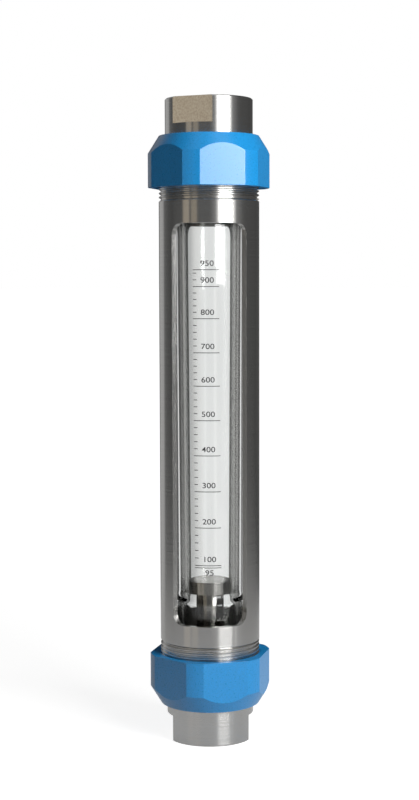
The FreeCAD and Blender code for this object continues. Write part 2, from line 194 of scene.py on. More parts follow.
def cut_across(shape, place, facing, nearness, clear_outer=False):
    """Cuts a shape along a plane and, where asked, takes away what lies beyond it."""
    return bmesh.ops.bisect_plane(
        shape, geom=shape.verts[:] + shape.edges[:] + shape.faces[:],
        plane_co=place, plane_no=facing, dist=nearness, clear_outer=clear_outer,
    )["geom_cut"]


def scale_mark(shape, start, end, height):
    """One printed line, laid flat first: from azimuth start to end, at that height up the glass."""
    middle = (start + end) / 2
    strip = bmesh.ops.create_grid(shape, x_segments=1, y_segments=1, size=0.5)["verts"]
    reach = math.radians(end - start) * glass_radius
    bmesh.ops.scale(shape, vec=(reach, LINE_WEIGHT, 1), verts=strip)
    bmesh.ops.translate(shape, vec=(math.radians(middle) * glass_radius, height, 0), verts=strip)


def scale_number(shape, value, height):
    """A printed number, set in type, made a mesh and laid flat beside its line."""
    type_curve = bpy.data.curves.new("type", "FONT")
    type_curve.body = str(value)
    type_curve.size = NUMBER_HEIGHT / CAP_SHARE_OF_TYPE
    type_curve.offset = NUMBER_WEIGHT
    type_curve.align_x = "CENTER"
    typed = bpy.data.objects.new("type", type_curve)
    bpy.context.scene.collection.objects.link(typed)
    bpy.context.view_layer.update()
    flat = bpy.data.meshes.new_from_object(typed)
    bpy.data.objects.remove(typed)
    flat.transform(Matrix.Diagonal((NUMBER_STRETCH, 1, 1, 1)))
    flat.transform(Matrix.Translation((math.radians(NUMBER_MIDDLE) * glass_radius, height, 0)))
    shape.from_mesh(flat)
    bpy.data.meshes.remove(flat)


def minor_heights():
    """Heights of the short marks, spaced evenly between the numbered lines."""
    values = sorted(SCALE_LINES)
    for low, high in zip(values, values[1:]):
        for value in range(TICK_EVERY * (low // TICK_EVERY + 1), high, TICK_EVERY):
            share = (value - low) / (high - low)
            yield SCALE_LINES[low] + share * (SCALE_LINES[high] - SCALE_LINES[low])


print_shape = bmesh.new()
for value, height in SCALE_LINES.items():
    scale_mark(print_shape, LINE_START, LINE_END, height)
    set_off = -NUMBER_BELOW_LINE if value == LOWEST_NUMBER else NUMBER_ABOVE_LINE
    scale_number(print_shape, value, height + set_off)
for height in minor_heights():
    scale_mark(print_shape, LINE_START, TICK_END, height)
for column in range(-COLUMNS_EACH_SIDE, COLUMNS_EACH_SIDE + 1):
    cut_across(print_shape, (column * PRINT_COLUMN, 0, 0), (1, 0, 0), nearness=0.0001)
for vertex in print_shape.verts:
    along, up = vertex.co.x, vertex.co.y
    turn = (along + (glass_head - up) * SCALE_LEAN) / glass_radius
    vertex.co = facing_at(turn) * (glass_radius + INK_STANDS_PROUD) * MM
    vertex.co.z = up * MM
bmesh.ops.recalc_face_normals(print_shape, faces=print_shape.faces)
for face in print_shape.faces:
    outwards = face.calc_center_median() * Vector((1, 1, 0))
    if face.normal.dot(outwards) < 0:
        face.normal_flip()


def grained_finish(name, ior, metallic, grain, detail, shades_at, shades, roughness, relief=None):
    """A finish with a fine even grain that shades its colour and, where given, dullness and relief."""
    material, nodes, links, shader = new_material(name)
    shader.inputs["IOR"].default_value = ior
    shader.inputs["Metallic"].default_value = metallic
    place = nodes.new("ShaderNodeTexCoord")
    speckle = nodes.new("ShaderNodeTexNoise")
    speckle.inputs["Scale"].default_value = grain
    speckle.inputs["Detail"].default_value = detail
    shading = nodes.new("ShaderNodeValToRGB")
    for element, position, shade in zip(shading.color_ramp.elements, shades_at, shades):
        element.position = position
        element.color = (*shade, 1)
    links.new(place.outputs["Object"], speckle.inputs["Vector"])
    links.new(speckle.outputs["Fac"], shading.inputs["Fac"])
    links.new(shading.outputs["Color"], shader.inputs["Base Color"])
    if isinstance(roughness, tuple):
        dullness = nodes.new("ShaderNodeMapRange")
        dullness.inputs["To Min"].default_value, dullness.inputs["To Max"].default_value = roughness
        links.new(speckle.outputs["Fac"], dullness.inputs["Value"])
        links.new(dullness.outputs["Result"], shader.inputs["Roughness"])
    else:
        shader.inputs["Roughness"].default_value = roughness
    if relief:
        grit = nodes.new("ShaderNodeBump")
        grit.inputs["Strength"].default_value, grit.inputs["Distance"].default_value = relief
        links.new(speckle.outputs["Fac"], grit.inputs["Height"])
        links.new(grit.outputs["Normal"], shader.inputs["Normal"])
    return material


dark_ink = grained_finish(
    "dark_ink", ior=1.5, metallic=0, grain=900, detail=2,
    shades_at=(0, 1), shades=((0.02, 0.02, 0.022), (0.07, 0.07, 0.075)), roughness=0.55,
)
make_piece("scale_print", print_shape, dark_ink, "root")

# Float: turned from stainless bar, a flat disc head on a thick stem, ground smooth to ride in the bore.
# At rest it stands on the lower stop, and its head shows just under the lowest line of the scale.
STEM_RADIUS, HEAD_THICKNESS = 8.0, 7.3
GROOVE_SHADE = 0.9


def worked_out(nodes, links, operation, *terms, clamp=False):
    """One step of arithmetic on a material's values, each a socket or a plain number."""
    step = nodes.new("ShaderNodeMath")
    step.operation = operation
    step.use_clamp = clamp
    for socket, term in zip(step.inputs, terms):
        if isinstance(term, (int, float)):
            socket.default_value = term
        else:
            links.new(term, socket)
    return step.outputs["Value"]


def turned_lines(nodes, links, fineness, depth):
    """The lathe's fine feed lines, rings round the axis on the sides and circles on the ends."""
    place = nodes.new("ShaderNodeTexCoord")
    apart = nodes.new("ShaderNodeSeparateXYZ")
    across = nodes.new("ShaderNodeVectorMath")
    across.operation = "MULTIPLY"
    across.inputs[1].default_value = (1, 1, 0)
    radius = nodes.new("ShaderNodeVectorMath")
    radius.operation = "LENGTH"
    rings = nodes.new("ShaderNodeTexNoise")
    rings.noise_dimensions = "1D"
    rings.inputs["Scale"].default_value = fineness
    rings.inputs["Detail"].default_value = 4
    rings.inputs["Roughness"].default_value = 0.7
    relief = nodes.new("ShaderNodeBump")
    relief.inputs["Strength"].default_value = depth
    relief.inputs["Distance"].default_value = 0.00002
    links.new(place.outputs["Object"], apart.inputs["Vector"])
    links.new(place.outputs["Object"], across.inputs[0])
    links.new(across.outputs["Vector"], radius.inputs[0])
    tool_path = worked_out(nodes, links, "ADD", radius.outputs["Value"], apart.outputs["Z"])
    links.new(tool_path, rings.inputs["W"])
    links.new(rings.outputs["Fac"], relief.inputs["Height"])
    return place, rings, relief


def turned_steel_finish(name, colour, bright, dull, fineness, depth):
    """Turned stainless steel: reflections smear along the axis, across the lathe's lines."""
    material, nodes, links, shader = new_material(name)
    shader.inputs["Metallic"].default_value = 1.0
    shader.inputs["Anisotropic"].default_value = 1.0
    shader.inputs["Anisotropic Rotation"].default_value = 0.25
    place, rings, relief = turned_lines(nodes, links, fineness, depth)
    shades = nodes.new("ShaderNodeValToRGB")
    shades.color_ramp.elements[0].position = 0.3
    shades.color_ramp.elements[0].color = (*[tone * GROOVE_SHADE for tone in colour], 1)
    shades.color_ramp.elements[1].position = 0.7
    shades.color_ramp.elements[1].color = (*colour, 1)
    sheen = nodes.new("ShaderNodeMapRange")
    sheen.inputs["From Min"].default_value = 0.3
    sheen.inputs["From Max"].default_value = 0.7
    sheen.inputs["To Min"].default_value = bright
    sheen.inputs["To Max"].default_value = dull
    around = nodes.new("ShaderNodeVectorMath")
    around.operation = "CROSS_PRODUCT"
    around.inputs[0].default_value = (0, 0, 1)
    turned_with_piece = nodes.new("ShaderNodeVectorTransform")
    turned_with_piece.vector_type = "VECTOR"
    turned_with_piece.convert_from = "OBJECT"
    turned_with_piece.convert_to = "WORLD"
    links.new(place.outputs["Object"], around.inputs[1])
    links.new(around.outputs["Vector"], turned_with_piece.inputs["Vector"])
    links.new(turned_with_piece.outputs["Vector"], shader.inputs["Tangent"])
    links.new(rings.outputs["Fac"], shades.inputs["Fac"])
    links.new(shades.outputs["Color"], shader.inputs["Base Color"])
    links.new(rings.outputs["Fac"], sheen.inputs["Value"])
    links.new(sheen.outputs["Result"], shader.inputs["Roughness"])
    links.new(relief.outputs["Normal"], shader.inputs["Normal"])
    return material


polished_stainless = turned_steel_finish(
    "polished_stainless", (0.39, 0.38, 0.36), bright=0.16, dull=0.2, fineness=1500, depth=0.1
)
float_low, float_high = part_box("float")
float_foot, float_head, head_radius = float_low.z / MM, float_high.z / MM, float_high.x / MM
float_shape = turned([
    (0, float_foot), (STEM_RADIUS, float_foot), (STEM_RADIUS, float_head - HEAD_THICKNESS),
    (head_radius, float_head - HEAD_THICKNESS), (head_radius, float_head), (0, float_head),
])
break_edges(float_shape, width=0.25)
make_piece("steel_float", float_shape, polished_stainless, "float_body", "float")

# Stops, clips, slip rings: small turned and stamped stainless pieces inside the two ends.
# The clips snap into grooves in the end fittings and hold the stops, which keep the float in the glass.


def give_finish(node_name, finish):
    """Puts a finish on a piece that is used just as the frame brings it."""
    for material_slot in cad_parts[node_name].material_slots:
        material_slot.material = finish


for end in ("lower", "upper"):
    for kind in ("float_stop", "stop_clip", "slip_ring"):
        give_finish(f"{end}_{kind}", polished_stainless)

# Seals: a black rubber ring round each end of the glass, and white plastic rings that it and the
# shroud bed on. They are squeezed by the union nuts and hardly show from outside.
SEAL_BLACK, GASKET_WHITE = (0.025, 0.025, 0.027), (0.78, 0.78, 0.75)
HOLLOW_SHADE = 0.82


def moulded_finish(name, colour, roughness, grain):
    """A moulded or cut face: a fine mottle, darker in its hollows."""
    return grained_finish(
        name, ior=1.5, metallic=0, grain=grain, detail=3, shades_at=(0, 1),
        shades=([tone * HOLLOW_SHADE for tone in colour], colour),
        roughness=roughness, relief=(0.2, 0.00003),
    )


seal_rubber = moulded_finish("seal_rubber", SEAL_BLACK, 0.6, 1200)
gasket_plastic = moulded_finish("gasket_plastic", GASKET_WHITE, 0.45, 500)
for end in ("lower", "upper"):
    give_finish(f"{end}_glass_seal", seal_rubber)
    give_finish(f"{end}_glass_cushion", gasket_plastic)
    give_finish(f"{end}_flange_gasket", gasket_plastic)

# Shroud: a thick stainless tube, threaded at both ends and milled through in front and behind into two
# long windows. Each half is marked out flat here, cut, rolled round the axis and given its wall.
shroud_low, shroud_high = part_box("shroud_tube")
shroud_radius, shroud_foot, shroud_head = shroud_high.x / MM, shroud_low.z / MM, shroud_high.z / MM
SHROUD_BORE, THREAD_CORE, THREAD_REACH, RUN_OUT = 26.0, 28.0, 21.6, 1.0
WINDOW_LOW_LAND, WINDOW_HIGH_LAND, WINDOW_HALF_ANGLE, WINDOW_CORNER = 12.0, 13.0, 46.8, 7.0
HALF_COLUMNS, CORNER_STEPS = 120, 12
turned_stainless = turned_steel_finish(
    "turned_stainless", (0.56, 0.555, 0.54), bright=0.19, dull=0.25, fineness=900, depth=0.25
)
front_window_foot = shroud_foot + THREAD_REACH + RUN_OUT + WINDOW_LOW_LAND
front_window_head = shroud_head - THREAD_REACH - RUN_OUT - WINDOW_HIGH_LAND
half_panel = math.pi / 2 * shroud_radius
REAR_FOOT_HIGHER, REAR_HEAD_LOWER = 1.7, 0.7


def marked_out_panel(shape, window_foot, window_head):
    """The outlines of half the tube, laid flat, and of its window with rounded corners."""
    half_window = math.radians(WINDOW_HALF_ANGLE) * shroud_radius
    window = [
        shape.verts.new((x, height, 0)) for x, height in (
            (-half_window, window_foot), (half_window, window_foot),
            (half_window, window_head), (-half_window, window_head),
        )
    ]
    shape.faces.new(window)
    bmesh.ops.bevel(
        shape, geom=window, offset=WINDOW_CORNER, offset_type="OFFSET", affect="VERTICES",
        segments=CORNER_STEPS, profile=0.5, material=-1,
    )
    panel = [
        shape.verts.new((x, height, 0)) for x, height in (
            (-half_panel, shroud_foot), (half_panel, shroud_foot),
            (half_panel, shroud_head), (-half_panel, shroud_head),
        )
    ]
    for here, there in zip(panel, panel[1:] + panel[:1]):
        shape.edges.new((here, there))


def flat_half(window_foot, window_head):
    """One half of the shroud laid flat, filled round its window and cut into narrow columns."""
    shape = bmesh.new()
    marked_out_panel(shape, window_foot, window_head)
    bmesh.ops.delete(shape, geom=shape.faces[:], context="FACES_ONLY")
    bmesh.ops.triangle_fill(shape, edges=shape.edges[:], use_beauty=False, use_dissolve=False)
    bmesh.ops.dissolve_limit(
        shape, angle_limit=0.001, use_dissolve_boundaries=False,
        verts=shape.verts[:], edges=shape.edges[:],
    )
    for column in range(1, HALF_COLUMNS):
        across = -half_panel + 2 * half_panel * column / HALF_COLUMNS
        cut_across(shape, (across, 0, 0), (1, 0, 0), nearness=0.001)
    for height in (
        shroud_foot + THREAD_REACH, shroud_foot + THREAD_REACH + RUN_OUT,
        shroud_head - THREAD_REACH, shroud_head - THREAD_REACH - RUN_OUT,
    ):
        cut_across(shape, (0, height, 0), (0, 1, 0), nearness=0.001)
    return shape


def shroud_skin_radius(height):
    """The tube's outside radius: full between the threads, and the threads' core at both ends."""
    from_end = min(height - shroud_foot, shroud_head - height)
    share = min(max((from_end - THREAD_REACH) / RUN_OUT, 0), 1)
    return THREAD_CORE + share * (shroud_radius - THREAD_CORE)


shroud_shape = bmesh.new()
for half_turn, window_foot, window_head in (
    (0, front_window_foot, front_window_head),
    (math.pi, front_window_foot + REAR_FOOT_HIGHER, front_window_head - REAR_HEAD_LOWER),
):
    half_mesh = bpy.data.meshes.new("half")
    half = flat_half(window_foot, window_head)
    half.to_mesh(half_mesh)
    half.free()
    before = set(shroud_shape.verts)
    shroud_shape.from_mesh(half_mesh)
    for vertex in shroud_shape.verts:
        if vertex not in before:
            turn, height = vertex.co.x / shroud_radius + half_turn, vertex.co.y
            vertex.co = facing_at(turn) * shroud_skin_radius(height) * MM
            vertex.co.z = height * MM
    bpy.data.meshes.remove(half_mesh)
bmesh.ops.remove_doubles(shroud_shape, verts=shroud_shape.verts, dist=0.01 * MM)
bmesh.ops.recalc_face_normals(shroud_shape, faces=shroud_shape.faces)
skin = shroud_shape.faces[:]
inside = bmesh.ops.extrude_face_region(shroud_shape, geom=skin)["geom"]
for vertex in (item for item in inside if isinstance(item, bmesh.types.BMVert)):
    to_bore = SHROUD_BORE * MM / math.hypot(vertex.co.x, vertex.co.y)
    vertex.co.x, vertex.co.y = vertex.co.x * to_bore, vertex.co.y * to_bore
bmesh.ops.recalc_face_normals(shroud_shape, faces=shroud_shape.faces)
break_edges(shroud_shape, width=0.9, sharpest=1.0, segments=4)
make_piece("windowed_shroud", shroud_shape, turned_stainless, "root", "shroud_tube")

# Shroud threads: a whitworth-form ridge cut round both ends of the shroud for the union nuts.
# The ridge winds right-handed and runs out into the full diameter beside the window.
THREAD_PITCH, THREAD_CREST, THREAD_TURNS, THREAD_STEPS = 2.309, 29.15, 8, 96
THREAD_ROOT, THREAD_END_GAP = THREAD_CORE - 0.3, 0.4
ROOT_SHARE, CREST_SHARE = 0.49, 0.1


def thread_ridge(foot):
    """One thread: its section carried up the helix, sunk a little into the tube and closed at both ends."""
    shape = bmesh.new()
    section = [
        shape.verts.new((radius * MM, 0, (foot + rise * THREAD_PITCH) * MM)) for radius, rise in (
            (THREAD_ROOT, -ROOT_SHARE), (THREAD_CREST, -CREST_SHARE),
            (THREAD_CREST, CREST_SHARE), (THREAD_ROOT, ROOT_SHARE),
        )
    ]
    ring = [shape.edges.new((here, there)) for here, there in zip(section, section[1:] + section[:1])]
    last = bmesh.ops.spin(
        shape, geom=section + ring, cent=(0, 0, 0), axis=(0, 0, 1),
        dvec=(0, 0, THREAD_PITCH * MM / THREAD_STEPS), angle=math.tau * THREAD_TURNS,
        steps=THREAD_STEPS * THREAD_TURNS, use_merge=False, use_duplicate=False,
    )["geom_last"]
    shape.faces.new(section)
    shape.faces.new([item for item in last if isinstance(item, bmesh.types.BMVert)])
    bmesh.ops.recalc_face_normals(shape, faces=shape.faces)
    return shape


for end, foot in (
    ("lower", shroud_foot + THREAD_REACH - THREAD_TURNS * THREAD_PITCH - THREAD_END_GAP),
    ("upper", shroud_head - THREAD_REACH + THREAD_END_GAP),
):
    make_piece(
        f"{end}_shroud_thread", thread_ridge(foot), turned_stainless, "root", hard_corner=0.4
    )

# End fittings: turned stainless sleeves with a female pipe thread, a flange that bears on the shroud
# and a spigot inside it that centres the glass. Two flats for a wrench are milled on the outer end.
FITTING_RADIUS, FLANGE_RADIUS, SPIGOT_RADIUS = 25.5, 27.73, 25.9
SOCKET_RADIUS, SOCKET_DEPTH, SOCKET_LEAD, FLOW_BORE, END_LEAD = 15.15, 18.0, 1.5, 12.5, 0.6
FLANGE_FOOT, FLANGE_HEAD, SPIGOT_HEAD = 28.5, 35.0, 58.0
GLASS_POCKET_RADIUS, GLASS_POCKET_FOOT, STOP_POCKET_RADIUS, STOP_POCKET_FOOT = 20.0, 43.0, 15.2, 38.2
FLAT_HALF_WIDTH, FLAT_HEIGHT = 22.25, 15.2
FLAT_TURNS = {"lower": 91.5, "upper": -24.6}
total_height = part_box("upper_end_fitting")[1].z / MM
FLAT_FROM_AXIS, SHOULDER_HEIGHT = FLAT_HALF_WIDTH * MM, FLAT_HEIGHT * MM
CLEAR_OF_CUT, ON_CUT, SQUARE_ON = 0.0001 * MM, 0.003 * MM, 0.999


def milled_flat(shape, facing):
    """Mills one flat from the end up to its shoulder, and closes the cut with the flat and the shoulder."""
    cut_across(shape, facing * FLAT_FROM_AXIS, facing, nearness=0.001 * MM)
    waste = [
        face for face in shape.faces
        if face.calc_center_median().z < SHOULDER_HEIGHT - CLEAR_OF_CUT
        and face.calc_center_median().dot(facing) > FLAT_FROM_AXIS + CLEAR_OF_CUT
    ]
    bmesh.ops.delete(shape, geom=waste, context="FACES")

    def in_flat(vertex):
        return abs(vertex.co.dot(facing) - FLAT_FROM_AXIS) < ON_CUT

    def in_shoulder(vertex):
        return abs(vertex.co.z - SHOULDER_HEIGHT) < ON_CUT

    along_corner = sorted(
        (
            vertex for vertex in shape.verts
            if vertex.is_boundary and in_flat(vertex) and in_shoulder(vertex)
        ),
        key=lambda vertex: vertex.co.cross(facing).z,
    )
    chord = shape.edges.new((along_corner[0], along_corner[-1]))
    open_edges = [edge for edge in shape.edges if edge.is_boundary or edge == chord]
    for in_cut in (in_shoulder, in_flat):
        bmesh.ops.contextual_create(
            shape, geom=[edge for edge in open_edges if all(in_cut(vertex) for vertex in edge.verts)]
        )


def turned_over(shape):
    """Stands a lower piece on its head for the upper end of the meter."""
    bmesh.ops.scale(shape, vec=(1, 1, -1), verts=shape.verts)
    bmesh.ops.translate(shape, vec=(0, 0, total_height * MM), verts=shape.verts)
    bmesh.ops.recalc_face_normals(shape, faces=shape.faces)


milled_stainless = grained_finish(
    "milled_stainless", ior=1.5, metallic=1, grain=950, detail=3, shades_at=(0.35, 0.65),
    shades=((0.78, 0.71, 0.61), (1.0, 0.95, 0.84)), roughness=(0.26, 0.36), relief=(0.3, 0.00002),
)


def end_fitting(end):
    """A fitting with its two flats, which carry the second finish."""
    shape = turned([
        (SOCKET_RADIUS + SOCKET_LEAD, 0), (FITTING_RADIUS - END_LEAD, 0), (FITTING_RADIUS, END_LEAD),
        (FITTING_RADIUS, FLAT_HEIGHT), (FITTING_RADIUS, FLANGE_FOOT), (FLANGE_RADIUS, FLANGE_FOOT),
        (FLANGE_RADIUS, FLANGE_HEAD), (SPIGOT_RADIUS, FLANGE_HEAD), (SPIGOT_RADIUS, SPIGOT_HEAD),
        (GLASS_POCKET_RADIUS, SPIGOT_HEAD), (GLASS_POCKET_RADIUS, GLASS_POCKET_FOOT),
        (STOP_POCKET_RADIUS, GLASS_POCKET_FOOT), (STOP_POCKET_RADIUS, STOP_POCKET_FOOT),
        (FLOW_BORE, STOP_POCKET_FOOT), (FLOW_BORE, SOCKET_DEPTH),
        (SOCKET_RADIUS, SOCKET_DEPTH), (SOCKET_RADIUS, SOCKET_LEAD),
    ])
    turn = math.radians(FLAT_TURNS[end])
    for side in (turn, turn + math.pi):
        milled_flat(shape, facing_at(side))
    bmesh.ops.recalc_face_normals(shape, faces=shape.faces)
    break_edges(shape, width=0.3, sharpest=0.5)
    for face in shape.faces:
        from_axis = abs(face.calc_center_median().dot(facing_at(turn)))
        squareness = abs(face.normal.dot(facing_at(turn)))
        if abs(from_axis - FLAT_FROM_AXIS) < ON_CUT and squareness > SQUARE_ON:
            face.material_index = 1
    if end == "upper":
        turned_over(shape)
    return shape


for end in ("lower", "upper"):
    fitting = make_piece(
        f"{end}_pipe_fitting", end_fitting(end), turned_stainless, "root", f"{end}_end_fitting"
    )
    fitting.data.materials.append(milled_stainless)

# Union nuts: turned and hexagon-milled aluminium, anodised blue, with a long cone that runs the flats
# out in arches. Each screws onto the shroud and draws the fitting's flange down through a slip ring.
NUT_REACH, NUT_HEAD, NUT_CONE_HEAD = 21.2, 51.2, 31.5
NUT_RIM_RADIUS, NUT_RADIUS, NUT_FLAT = 29.1, 35.55, 33.05
NUT_COLLAR_BORE, NUT_COLLAR_HEAD, NUT_BORE, NUT_MOUTH, NUT_MOUTH_FOOT = 25.75, 27.5, 28.08, 29.75, 49.2
NUT_TURNS, NUT_SIDES = {"lower": 15.5, "upper": 13.3}, 6


def union_nut(end):
    """A nut turned to its outline, with the hexagon milled off it."""
    shape = turned([
        (NUT_COLLAR_BORE, NUT_REACH), (NUT_RIM_RADIUS, NUT_REACH), (NUT_RADIUS, NUT_CONE_HEAD),
        (NUT_RADIUS, NUT_HEAD), (NUT_MOUTH, NUT_HEAD), (NUT_BORE, NUT_MOUTH_FOOT),
        (NUT_BORE, NUT_COLLAR_HEAD), (NUT_COLLAR_BORE, NUT_COLLAR_HEAD),
    ])
    for side in range(NUT_SIDES):
        facing = facing_at(math.radians(NUT_TURNS[end] + 360 / NUT_SIDES * side))
        cut = cut_across(
            shape, facing * NUT_FLAT * MM, facing, nearness=0.001 * MM, clear_outer=True
        )
        bmesh.ops.contextual_create(
            shape, geom=[item for item in cut if isinstance(item, bmesh.types.BMEdge)]
        )
    bmesh.ops.recalc_face_normals(shape, faces=shape.faces)
    break_edges(shape, width=0.5, sharpest=0.2)
    if end == "upper":
        turned_over(shape)
    return shape


blue_anodised = grained_finish(
    "blue_anodised", ior=1.76, metallic=0, grain=1400, detail=3, shades_at=(0.3, 0.7),
    shades=((0.008, 0.29, 0.69), (0.008, 0.36, 0.86)), roughness=(0.24, 0.34), relief=(0.25, 0.00002),
)
for end in ("lower", "upper"):
    make_piece(
        f"blue_{end}_nut", union_nut(end), blue_anodised, f"{end}_nut_body",
        f"{end}_union_nut", hard_corner=1.2,
    )

# Studio: a pale floor and a white surround, one tall soft light from the front right, and a ring of glowing
# card round the meter, whose tones are painted reflections, with a painted highlight beside the light, that
# metal and glass show between their highlights. Only they see the card.
# Turns are in degrees from the reading side towards the reader's right, and lengths here in metres.
KEY_START, KEY_END = 23.5, 55.5
KEY_DISTANCE, KEY_MIDDLE, KEY_HEIGHT, KEY_RADIANCE = 1.1, 0.767, 1.0, 8.5
RING_DISTANCE, RING_TOP, CARD_DISTANCE = 0.42, 1.6, 0.41
CARD_STEP = 3
REAR_WHITE_FROM, REAR_WHITE_FULL, REAR_WHITE = 166, 172, 0.9
# Tones of the glowing ring by turn, grey or tan, are painted reflections; the 1.6 beside the key is a
# painted highlight.
TAN_OUTER, TAN_INNER = (0.49, 0.435, 0.36), (0.40, 0.355, 0.29)
RING_TONES = (
    (-180, 0.015), (-171, 0.015), (-166, 0.15), (-157, 0.15), (-153, 0.50), (-128, 0.50), (-122, 0.18),
    (-110, 0.135), (-100, 0.105), (-81, 0.085), (-61, 0.105), (-59, TAN_OUTER), (-45.3, TAN_OUTER),
    (-44, 0.13), (-41.2, 0.13), (-39.8, TAN_INNER), (-27.8, TAN_INNER), (-25.8, 0.15), (2, 0.15), (8, 0.22),
    (14, 0.32), (17.5, 0.55), (20.5, 1.6), (58.5, 1.6), (61.5, 0.42), (69, 0.28), (80, 0.155), (90, 0.12),
    (111, 0.11), (135, 0.09), (164, 0.10), (171, 0.015),
)


def card_finish(name, tones_round):
    """Glowing card whose tones, painted reflections, change round the meter. Only reflections see it, and
    glass sees its rear white.

    Each tone is a grey or a colour, listed with the turn at which it stands.
    """
    material = bpy.data.materials.new(name)
    material.use_nodes = True
    nodes, links = material.node_tree.nodes, material.node_tree.links
    nodes.remove(nodes["Principled BSDF"])
    place = nodes.new("ShaderNodeTexCoord")
    from_front = nodes.new("ShaderNodeMapping")
    from_front.inputs["Rotation"].default_value = (0, 0, math.radians(90))
    azimuth = nodes.new("ShaderNodeTexGradient")
    azimuth.gradient_type = "RADIAL"
    tones = nodes.new("ShaderNodeValToRGB")
    while len(tones.color_ramp.elements) < len(tones_round):
        tones.color_ramp.elements.new(1.0)
    for element, (turn, tone) in zip(tones.color_ramp.elements, tones_round):
        element.position = turn / 360 + 0.5
        element.color = (*tone, 1) if isinstance(tone, tuple) else (tone, tone, tone, 1)
    links.new(place.outputs["Object"], from_front.inputs["Vector"])
    links.new(from_front.outputs["Vector"], azimuth.inputs["Vector"])
    links.new(azimuth.outputs["Fac"], tones.inputs["Fac"])

    path = nodes.new("ShaderNodeLightPath")
    off_front = worked_out(nodes, links, "SUBTRACT", azimuth.outputs["Fac"], 0.5)
    rear = nodes.new("ShaderNodeMapRange")
    rear.inputs["From Min"].default_value = REAR_WHITE_FROM / 360
    rear.inputs["From Max"].default_value = REAR_WHITE_FULL / 360
    links.new(worked_out(nodes, links, "ABSOLUTE", off_front), rear.inputs["Value"])
    through_glass = worked_out(
        nodes, links, "MULTIPLY", rear.outputs["Result"], path.outputs["Transmission Depth"], clamp=True
    )
    with_rear = nodes.new("ShaderNodeMix")
    with_rear.data_type = "RGBA"
    with_rear.inputs["B"].default_value = (REAR_WHITE, REAR_WHITE, REAR_WHITE, 1)
    links.new(through_glass, with_rear.inputs["Factor"])
    links.new(tones.outputs["Color"], with_rear.inputs["A"])

    glow = nodes.new("ShaderNodeEmission")
    clear = nodes.new("ShaderNodeBsdfTransparent")
    choice = nodes.new("ShaderNodeMixShader")
    links.new(with_rear.outputs["Result"], glow.inputs["Color"])
    links.new(path.outputs["Glossy Depth"], choice.inputs["Fac"])
    links.new(clear.outputs["BSDF"], choice.inputs[1])
    links.new(glow.outputs["Emission"], choice.inputs[2])
    links.new(choice.outputs["Shader"], nodes["Material Output"].inputs["Surface"])
    return material


def studio_card(name, start, end, distance, foot, head, finish):
    """A curved card standing round the meter from one turn to another, seen only in reflections."""
    shape = bmesh.new()
    edge_place = facing_at(math.radians(start)) * distance
    first = [shape.verts.new(edge_place + Vector((0, 0, height))) for height in (foot, head)]
    upright = shape.edges.new(first)
    bmesh.ops.spin(
        shape, geom=first + [upright], cent=(0, 0, 0), axis=(0, 0, 1), dvec=(0, 0, 0),
        angle=math.radians(end - start), steps=max(2, round((end - start) / CARD_STEP)), use_merge=False,
    )
    card = into_scene(name, shape, finish)
    card.visible_camera = False
    card.visible_diffuse = False
    card.visible_shadow = False


studio_card(
    "surround_card", start=KEY_END, end=KEY_START + 360, distance=RING_DISTANCE, foot=0.0, head=RING_TOP,
    finish=card_finish("surround_card", RING_TONES),
)
# Two low glowing cards, one beside the key and one at the left, add painted reflections low down.
studio_card(
    "low_card_by_key", start=50, end=58, distance=CARD_DISTANCE, foot=0.0, head=0.26,
    finish=card_finish("low_card", ((-180, 0.4), (180, 0.4))),
)
studio_card(
    "low_card_left", start=-86, end=-61, distance=CARD_DISTANCE, foot=0.03, head=0.30,
    finish=card_finish("left_card", ((-180, 0.18), (180, 0.18))),
)

FLOOR_REACH = 60
FLOOR_COLOUR, FLOOR_DULLNESS = (0.45, 0.45, 0.45), 0.9
FLOOR_WHITENS, FLOOR_WHITE = (0.15, 1.6), (0.88, 1.0)
# In metal the floor glows as a painted reflection, brighter near the meter than far off.
FLOOR_IN_METAL_DULLS, FLOOR_IN_METAL = (0.08, 0.26), (0.15, 0.055)
# The white ground seen through glass darkens towards the left, a painted shade.
SEEN_THROUGH_GLASS_SIDEWAYS, SEEN_THROUGH_GLASS = (-0.27, -0.03), (0.46, 0.80)


def eased(nodes, links, value, stretch, tones):
    """A tone that eases from the first to the second while the value crosses the stretch."""
    ease = nodes.new("ShaderNodeMapRange")
    ease.interpolation_type = "SMOOTHSTEP"
    ease.inputs["From Min"].default_value, ease.inputs["From Max"].default_value = stretch
    ease.inputs["To Min"].default_value, ease.inputs["To Max"].default_value = tones
    links.new(value, ease.inputs["Value"])
    return ease.outputs["Result"]


def white_to_the_eye(nodes, links, direction):
    """How much of the white ground a ray sees: all of it from the camera, and less through glass.

    Through glass it is least at the left of the ground behind the meter, a painted shade that darkens the
    glass there.
    """
    path = nodes.new("ShaderNodeLightPath")
    place = nodes.new("ShaderNodeTexCoord")
    apart = nodes.new("ShaderNodeSeparateXYZ")
    links.new(place.outputs[direction], apart.inputs["Vector"])
    sideways = worked_out(nodes, links, "DIVIDE", apart.outputs["X"], apart.outputs["Y"])
    in_glass = eased(nodes, links, sideways, SEEN_THROUGH_GLASS_SIDEWAYS, SEEN_THROUGH_GLASS)
    through_glass = worked_out(nodes, links, "MULTIPLY", path.outputs["Is Transmission Ray"], in_glass)
    return path, worked_out(nodes, links, "MAXIMUM", path.outputs["Is Camera Ray"], through_glass)


